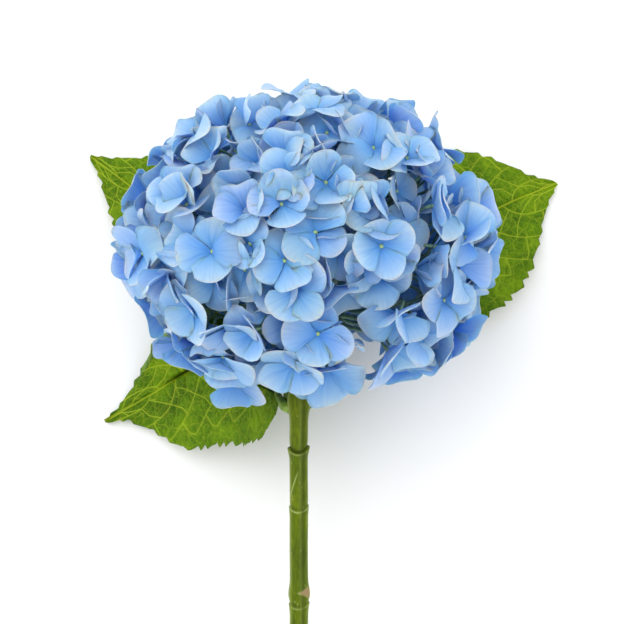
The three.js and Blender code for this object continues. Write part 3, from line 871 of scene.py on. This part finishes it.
def distance_to_lines(x, y, lines):
    """Distance from each place to the nearest of some lines, less the line's half width."""
    best = np.full(x.shape, 1e3)
    for line, width in lines:
        line = np.asarray(line, float)
        thick = np.linspace(width[0], width[1], len(line))
        for p, q, r in zip(line[:-1], line[1:], thick):
            way = q - p
            t = ((x - p[0]) * way[0] + (y - p[1]) * way[1]) / max(way @ way, 1e-9)
            t = np.clip(t, 0, 1)
            far = np.hypot(x - p[0] - t * way[0], y - p[1] - t * way[1]) - r
            best = np.minimum(best, far)
    return best


def leaf_side_veins(length, widths, profile, rng):
    """Side veins of a blade: each arches towards the tip, then loops to meet the next one.
    Places are measured along the midrib from the base, and across it."""
    lines = [([(0, 0), (length, 0)], (0.3, 0.08))]
    for side, width in ((-1, widths[0]), (1, widths[1])):
        starts = length * (0.05 + 0.135 * np.arange(VEINS_PER_SIDE) + (0.05 if side > 0 else 0.0))
        paths = []
        for start in starts:
            q = np.linspace(0, 1, 9)
            share = np.clip(start / length + 0.16 * q, 0, 1)
            room = width * blade_half_width(share, profile) * 0.8
            across = room * q ** 0.92
            ahead = start + length * (0.10 * q + 0.15 * q ** 2) + rng.uniform(-1.5, 1.5) * q
            paths.append(np.stack([ahead, side * across], axis=1))
            lines.append((paths[-1], (0.06, 0.01)))
        for near, far in zip(paths[:-1], paths[1:]):
            end, meet = near[-1], far[6]
            middle = (end + meet) / 2 + [0, side * 2.5]
            lines.append(([end, middle, meet], (0.03, 0.02)))
            ways = near[[3, 5]], far[[1, 3]]
            for k in range(2):
                a, b = ways[0][k], ways[1][k]
                bow = (a + b) / 2 + rng.uniform(-2.2, 2.2, 2)
                lines.append(([a, bow, b], (0.02, 0.01)))
    return lines


def vein_net(x, y, spacing, rng):
    """Distance to the nearest line of a net of small fields, like the finer veins of a leaf."""
    gx = np.arange(x.min() - spacing, x.max() + 2 * spacing, spacing)
    gy = np.arange(y.min() - spacing, y.max() + 2 * spacing, spacing)
    px, py = [g.ravel() for g in np.meshgrid(gx, gy)]
    px = px + rng.uniform(-0.42, 0.42, len(px)) * spacing
    py = py + rng.uniform(-0.42, 0.42, len(py)) * spacing
    wx = x + 0.12 * spacing * np.sin(y * 2.4 / spacing) + 0.06 * spacing * np.sin(y * 7 / spacing)
    wy = y + 0.12 * spacing * np.sin(x * 2.1 / spacing) + 0.06 * spacing * np.sin(x * 6 / spacing)
    gap = np.empty(x.shape)
    for row in range(x.shape[0]):
        near = np.abs(px - wx[row].mean()) < 4 * spacing
        far = np.hypot(wx[row][:, None] - px[near], wy[row][:, None] - py[near])
        two = np.partition(far, 1, axis=1)[:, :2]
        gap[row] = (two[:, 1] - two[:, 0]) / 2
    return gap


def between(share, low, high, steep):
    """1 between two shares of the length, fading on both sides."""
    return 1 / (1 + np.exp(-(share - low) * steep)) / (1 + np.exp((share - high) * steep))


def make_leaf(name, leaf, material, stalk):
    """Blade with serrated margin, sunken veins and raised fields between them; petiole."""
    rng = np.random.default_rng(sum(leaf["widths"]) + len(name))
    steps = np.arange(LINE_STEPS + 1)
    line = smooth_line(leaf["midrib"], len(steps))
    index = np.linspace(int(LINE_STEPS * leaf["blade"]), LINE_STEPS, BLADE_ROWS)
    mid = np.stack([np.interp(index, steps, line[:, k]) for k in range(3)], axis=1)
    way = np.gradient(mid, axis=0)
    way[:, 2] = 0
    chord = (mid[-1] - mid[0]) * [1, 1, 0]
    way = unit(unit(way) + 2 * unit(chord))
    profile = leaf.get("profile", BLADE_PROFILE)
    length = np.linalg.norm(np.diff(mid, axis=0), axis=1).sum()
    share = np.linspace(0, 1, BLADE_ROWS)[:, None]
    s = np.linspace(-1, 1, BLADE_COLUMNS)[None, :]
    width = np.where(s < 0, leaf["widths"][0], leaf["widths"][1])
    half = np.maximum(0.25, width * blade_half_width(share, profile))
    # Each tooth rises slowly towards the tip and drops back at once.
    saw = (share * TEETH + 0.22 * np.sin(share * 40 + s) + np.where(s < 0, 0.4, 0)) % 1.0
    rise = np.where(saw < 0.86, saw / 0.86, (1 - saw) / 0.14)
    tooth = TOOTH * rise * np.abs(s) ** 8 * np.sin(math.pi * np.clip(share, 0, 0.97)) ** 0.4
    reach = np.abs(s) * half + tooth
    side = np.sign(s)
    x = mid[:, 0:1] - way[:, 1:2] * side * reach
    y = mid[:, 1:2] + way[:, 0:1] * side * reach
    ahead, across = share * length + 0 * s, side * reach
    ribs = distance_to_lines(ahead, across, leaf_side_veins(length, leaf["widths"], profile, rng))
    net = vein_net(ahead, across, 8.5, rng)
    fine = vein_net(ahead, across, 4.2, rng)
    vein = np.exp(-np.clip(ribs, 0, None) ** 2 / 0.06)
    vein = np.maximum(vein, 0.55 * bell(net, 0.17))
    vein = np.maximum(vein, 0.26 * bell(fine, 0.2))
    field = 1 - bell(np.minimum(np.clip(ribs, 0, None), 1.5 * net), 1.5)
    swell = 0.75 * field * np.clip(1.15 - np.abs(s), 0, 1) ** 0.3
    groove = bell(reach, 1.3)
    crease = np.zeros_like(reach)
    pale = np.zeros_like(reach)
    natural = mid[:, 2:3] + 0.13 * reach * np.sin(math.pi * share) + swell - 0.9 * groove
    natural = natural + 1.1 * np.sin(share * 21 + side) * np.abs(s) ** 3
    if leaf.get("crease"):
        window = between(share, *leaf["crease"], 60)
        # The crease sinks the blade along the midrib; the same mask darkens it there with painted
        # shade.
        crease = window * bell(across + 0.4, 0.8)
        lift = window * bell(reach - 3.5, 3.0)
        natural = natural - 2.2 * crease + 1.2 * lift
    if leaf.get("rolled"):
        edge = np.clip((-s - 0.84) / 0.16, 0, 1) * between(share, *leaf["rolled"], 50)
        pale = edge ** 0.5
        natural = natural + 5.0 * np.sin(edge * math.pi * 0.5)
        x = x + way[:, 1:2] * side * reach * 0.05 * edge
        y = y - way[:, 0:1] * side * reach * 0.05 * edge
    under = head_underside(x, y) - GAP
    height = np.maximum(np.minimum(natural, under), LEAF_THICKNESS + 0.05)
    grid = at_height(x, y, height - 0.5)
    values = np.stack([np.clip(vein, 0, 1), pale, crease], axis=-1)
    builder = MeshBuilder()
    add_sheet(builder, grid[::-1], BLADE_SKIN, 0, values[::-1])
    # The petiole runs from inside the stem a little way into the blade.
    end = int(LINE_STEPS * (leaf["blade"] + 0.1))
    stalk_line = line[:end:6].copy()
    height = np.minimum(stalk_line[:, 2], head_underside(stalk_line[:, 0], stalk_line[:, 1]) - GAP)
    height = np.maximum(height - 0.9, 1.8)
    path = at_height(stalk_line[:, 0], stalk_line[:, 1], height)
    root = path[0] * 0.4 + 0.6 * head_points([STEM_X, stalk_line[0, 1] - 2.5, 0])
    path = np.concatenate([[root], path])
    radii = np.interp(np.linspace(0, 1, len(path)), [0, 0.12, 0.3, 1], [3.2, 2.6, 2.0, 1.0])
    add_tube(builder, path, radii, 1, 16)
    obj = builder.finish(name + "_blade", [material, stalk])
    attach(obj, "root")
    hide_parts(name)


# --- Stem -----------------------------------------------------------------------------------
def round_stem(turn):
    """Distance round the skin from where an angle is nothing."""
    return np.angle(np.exp(1j * turn)) * STEM_RADIUS


def make_stem(skin, cut):
    """Stem skin: swollen nodes, a sheathing collar, ridges, lenticels and a slanting cut end."""
    turn = np.linspace(0, 2 * math.pi, STEM_SIDES, endpoint=False)[None, :]
    end = -STEM_BELOW_HEAD_CENTRE + 5 + 0.75 * STEM_RADIUS * np.sin(turn)
    y = end + (STEM_TOP - end) * np.linspace(0, 1, STEM_ROWS)[:, None]
    front = np.sin(turn)
    radius = np.full(y.shape, STEM_RADIUS)
    radius = radius + 0.12 * np.sin(3 * turn + y / 60) + 0.07 * np.sin(y / 7.0 + 2 * np.cos(turn))
    radius = radius * (1 - 0.12 * np.clip((y + 62) / 15, 0, 1))
    pale, painted_shade = np.zeros(y.shape), np.zeros(y.shape)
    # Collar: the lower length ends in a lip that dips in front; the upper rises out of it.
    for lip, height, drop, lip_paleness in COLLARS:
        edge = y - (lip - drop * np.abs(front) ** 1.5 + 0.4 * np.cos(turn))
        radius = radius + height * np.where(edge < 0, bell(edge, 3.2), bell(edge, 0.5))
        radius = radius - 0.35 * height * bell(edge - 1.3, 0.8)
        pale = np.maximum(pale, lip_paleness * bell(edge + 0.4, 0.4))
        # Painted shade darkens the groove just above each lip.
        painted_shade = np.maximum(painted_shade, height * bell(edge - 1.2, 0.7))
    # The node that carries the leaves widens on both sides into their bases.
    wide = bell(y - LEAF_NODE, 5.5)
    radius = radius + wide * (0.5 + 0.9 * np.abs(np.cos(turn)) ** 3)
    # A node below has a scar where a leaf was taken off: a shield with a point in front.
    wide = bell(y - SCAR_NODE, 4.2)
    radius = radius + 0.75 * wide * (0.6 + 0.4 * np.cos(turn) ** 2)
    aside = round_stem(turn - 0.75)
    up = y - SCAR_MIDDLE
    shield = np.maximum(np.abs(up + 0.1 * aside) - 0.5 * (3.9 - aside), -aside - 2.6)
    shield = np.maximum(shield, np.abs(up) - 2.7)
    scar = 1 / (1 + np.exp(np.clip(shield * 6, -60, 60)))
    radius = radius - 0.3 * scar + 0.3 * bell(shield, 0.4)
    pale = np.maximum(pale, 0.8 * bell(shield, 0.35))
    # Ridges run the whole length; their tops are painted paler as a highlight.
    for ridge, size in RIDGES:
        off = round_stem(turn - ridge - 0.05 * np.sin(y / 23.0))
        radius = radius + size * bell(off, 0.7)
        pale = np.maximum(pale, 2.0 * size * bell(off, 0.9))
    # The skin is drawn in along a broad furrow on one side, and painted shade darkens that side.
    off = round_stem(turn - 1.1 - 0.04 * np.sin(y / 31.0))
    radius = radius - 0.16 * bell(off, 1.1)
    painted_shade = np.maximum(painted_shade, 0.6 * bell(off, 1.2))
    # A loose fibre crosses the front at a slant.
    past = y - FIBRE_MIDDLE
    fibre = bell(round_stem(turn - 2.25 + past * 0.085), 0.28) * np.exp(-(past / 6.0) ** 4)
    radius = radius + 0.12 * fibre
    pale = np.maximum(pale, fibre)
    # Lenticels: small raised pale pores.
    rng = np.random.default_rng(5)
    for _ in range(LENTICELS):
        at, where = rng.uniform(0, 2 * math.pi), rng.uniform(-300, -60)
        off = round_stem(turn - at)
        dot = np.exp(-(off / 0.32) ** 2 - ((y - where) / rng.uniform(0.35, 0.8)) ** 2)
        radius = radius + 0.1 * dot
        pale = np.maximum(pale, 0.55 * dot)
    x, z = STEM_X + radius * np.cos(turn), radius * np.sin(turn)
    grid = head_points(np.stack([x, y, z], axis=-1))
    quads = np.roll(ring_faces(STEM_ROWS, STEM_SIDES)[:, ::-1], 1, axis=1)
    builder = MeshBuilder()
    builder.add(grid, quads, 0, np.stack([pale, scar, painted_shade], axis=-1))
    builder.add_cut(grid[0], 1, False)
    builder.add_cut(grid[-1], 1, True)
    obj = builder.finish("stem_skin", [skin, cut])
    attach(obj, "root")
    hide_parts("stem")


# --- Settings -------------------------------------------------------------------------------
class HydrangeaHeadSettings(bpy.types.PropertyGroup):
    sepal_glow: FloatProperty(
        name="Sepal glow", description="How much light passes through the sepals",
        default=0.85, min=0, max=1, subtype="FACTOR")
    bud_radius: FloatProperty(
        name="Bud radius", description="Radius of the bud in each floret's middle",
        default=1.05 * MM, min=0.0005, unit="LENGTH")
    pedicel_radius: FloatProperty(
        name="Pedicel radius", description="Thickness of the stalk behind each floret",
        default=0.6 * MM, min=0.0002, unit="LENGTH")


class HydrangeaStageSettings(bpy.types.PropertyGroup):
    lens: FloatProperty(
        name="Lens", description="Focal length of the camera in millimetres", default=135.0)
    distance: FloatProperty(
        name="Camera distance", description="From the camera to the middle of the head",
        default=1.17, unit="LENGTH")
    floor_colour: FloatVectorProperty(
        name="Surface", description="Colour of the pale surface", subtype="COLOR", size=3,
        default=(0.93, 0.93, 0.93), min=0, max=1)


# --- Operators ------------------------------------------------------------------------------
class HYDRANGEA_OT_stage(bpy.types.Operator):
    """Make the pale surface, the soft light and the camera"""
    bl_idname = "hydrangea.stage"
    bl_label = "Stage"

    def execute(self, context):
        settings = context.scene.hydrangea_stage
        scene = context.scene
        mesh = bpy.data.meshes.new("pale_surface")
        r = FLOOR_HALF
        mesh.from_pydata([(-r, -r, 0), (r, -r, 0), (r, r, 0), (-r, r, 0)], [], [(0, 1, 2, 3)])
        floor = bpy.data.objects.new("pale_surface", mesh)
        scene.collection.objects.link(floor)
        material, tree = new_material("matt_white_board")
        finish_material(tree, (*settings.floor_colour, 1.0), 0.9)
        mesh.materials.append(material)

        world = bpy.data.worlds.new("soft_white_room")
        scene.world = world
        world.use_nodes = True
        background = world.node_tree.nodes["Background"]
        background.inputs["Color"].default_value = (1.0, 1.0, 1.0, 1.0)
        background.inputs["Strength"].default_value = WORLD_STRENGTH

        target = Vector((head_points([0, -20, 0]) * MM).tolist())
        for name, way, power in LIGHTS:
            light = bpy.data.lights.new(name, "AREA")
            light.shape = "SQUARE"
            light.size = LIGHT_SIZE
            light.energy = power
            lamp = bpy.data.objects.new(name, light)
            lamp.location = target + Vector(way).normalized() * LIGHT_DISTANCE
            lamp.rotation_euler = (target - lamp.location).to_track_quat("-Z", "Y").to_euler()
            scene.collection.objects.link(lamp)

        camera = bpy.data.cameras.new("studio_camera")
        camera.type = "PERSP"
        camera.sensor_width = 36.0
        camera.lens = settings.lens
        camera.clip_end = 20.0
        rig = bpy.data.objects.new("studio_camera", camera)
        spot = head_points([2.0, -37.0, settings.distance / MM]) * MM
        turn = np.eye(4)
        turn[:3, 0], turn[:3, 1], turn[:3, 2], turn[:3, 3] = ACROSS, ALONG, OUTWARD, spot
        rig.matrix_world = Matrix(turn.tolist())
        scene.collection.objects.link(rig)
        scene.camera = rig
        scene.view_settings.view_transform = "Standard"
        return {"FINISHED"}


class HYDRANGEA_OT_head(bpy.types.Operator):
    """Grow the florets and build every sprig"""
    bl_idname = "hydrangea.head"
    bl_label = "Flower head"

    def execute(self, context):
        settings = context.scene.hydrangea_head
        florets = lay_out_florets()
        groups = group_florets(florets)
        names = sorted(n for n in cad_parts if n.startswith("sprig_"))
        if len(names) != len(groups):
            raise RuntimeError(f"{len(groups)} sprigs do not match {len(names)} nodes")
        sepals = finished_sepals(florets)
        materials = [sepal_material(settings), bud_material(), stalk_material()]
        values, thick = sepal_values()
        hub = head_points(HUB)
        feet = []
        for name, members in zip(names, groups):
            builder = MeshBuilder()
            middle = np.mean([florets[m]["centre"] for m in members], axis=0)
            foot = hub + (middle - hub) * 0.5
            joint = hub + (middle - hub) * 0.64
            feet.append(foot)
            way = unit(middle - hub)
            add_tube(builder, curve(foot, way, joint, way, 6), np.linspace(1.1, 1.2, 6),
                     STALK_SLOT, 8)
            for m in members:
                base = sepals[m][:, 0, FINE // 2].mean(axis=0)
                tips = sepals[m][:, -1, FINE // 2]
                normal = unit(np.cross(tips[2] - tips[0], tips[3] - tips[1]))
                if normal.dot(florets[m]["normal"]) < 0:
                    normal = -normal
                for k in range(4):
                    values[..., 2] = chance(m * 4 + k, 21)
                    add_sheet(builder, sepals[m, k], thick, SEPAL_SLOT, values)
                add_bud(builder, base, normal, settings.bud_radius / MM)
                path = curve(joint, way, base - 0.2 * normal, normal, 12)
                radii = settings.pedicel_radius / MM * np.linspace(1.15, 1.0, 12)
                radii[-2:] *= (1.25, 1.9)
                add_tube(builder, path, radii, STALK_SLOT, 8)
            obj = builder.finish(f"{name}_florets", materials)
            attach(obj, "root")
            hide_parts(name)
        shares = share_out(feet)
        branches = sorted(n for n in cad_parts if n.startswith("branch_"))
        if len(branches) != len(shares):
            raise RuntimeError(f"{len(shares)} branches do not match {len(branches)} nodes")
        for name, share in zip(branches, shares):
            builder = MeshBuilder()
            spots = np.array([feet[k] for k in share])
            middle = spots.mean(axis=0)
            way = unit(middle - hub)
            fork = hub + (middle - hub) * 0.5
            path = curve(hub + 6.0 * way, unit(way + 0.6 * ALONG), fork, way, 10)
            add_tube(builder, path, np.linspace(1.9, 1.7, 10), 0, 10)
            for spot in spots:
                arm = curve(fork - way * 1.0, way, spot, unit(spot - hub), 12)
                add_tube(builder, arm, np.linspace(1.45, 1.15, 12), 0, 8)
            obj = builder.finish(name + "_stalks", [materials[2]])
            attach(obj, "root")
            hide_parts(name)
        return {"FINISHED"}


class HYDRANGEA_OT_stem(bpy.types.Operator):
    """Build the stem with its nodes and cut end"""
    bl_idname = "hydrangea.stem"
    bl_label = "Stem"

    def execute(self, context):
        make_stem(stem_material(), pith_material())
        return {"FINISHED"}


class HYDRANGEA_OT_leaves(bpy.types.Operator):
    """Build the leaves with their veins and petioles"""
    bl_idname = "hydrangea.leaves"
    bl_label = "Leaves"

    def execute(self, context):
        blade, stalk = leaf_material(), petiole_material()
        for name, leaf in LEAVES.items():
            make_leaf(name, leaf, blade, stalk)
        return {"FINISHED"}


class HYDRANGEA_PT_panel(bpy.types.Panel):
    """Lists the parts of the flower"""
    bl_label = "Hydrangea"
    bl_idname = "HYDRANGEA_PT_panel"
    bl_space_type = "VIEW_3D"
    bl_region_type = "UI"
    bl_category = "Hydrangea"

    def draw(self, context):
        layout = self.layout
        for name in ("stage", "head", "stem", "leaves"):
            layout.operator("hydrangea." + name)
        for group in (context.scene.hydrangea_head, context.scene.hydrangea_stage):
            for key in group.bl_rna.properties.keys():
                if key not in ("rna_type", "name"):
                    layout.prop(group, key)


CLASSES = (HydrangeaHeadSettings, HydrangeaStageSettings, HYDRANGEA_OT_stage, HYDRANGEA_OT_head,
           HYDRANGEA_OT_stem, HYDRANGEA_OT_leaves, HYDRANGEA_PT_panel)


def register():
    for cls in CLASSES:
        bpy.utils.register_class(cls)
    bpy.types.Scene.hydrangea_head = PointerProperty(type=HydrangeaHeadSettings)
    bpy.types.Scene.hydrangea_stage = PointerProperty(type=HydrangeaStageSettings)


def unregister():
    del bpy.types.Scene.hydrangea_head
    del bpy.types.Scene.hydrangea_stage
    for cls in reversed(CLASSES):
        bpy.utils.unregister_class(cls)


def main():
    register()
    bpy.ops.hydrangea.stage()
    bpy.ops.hydrangea.head()
    bpy.ops.hydrangea.stem()
    bpy.ops.hydrangea.leaves()


if __name__ == "__main__":
    main()
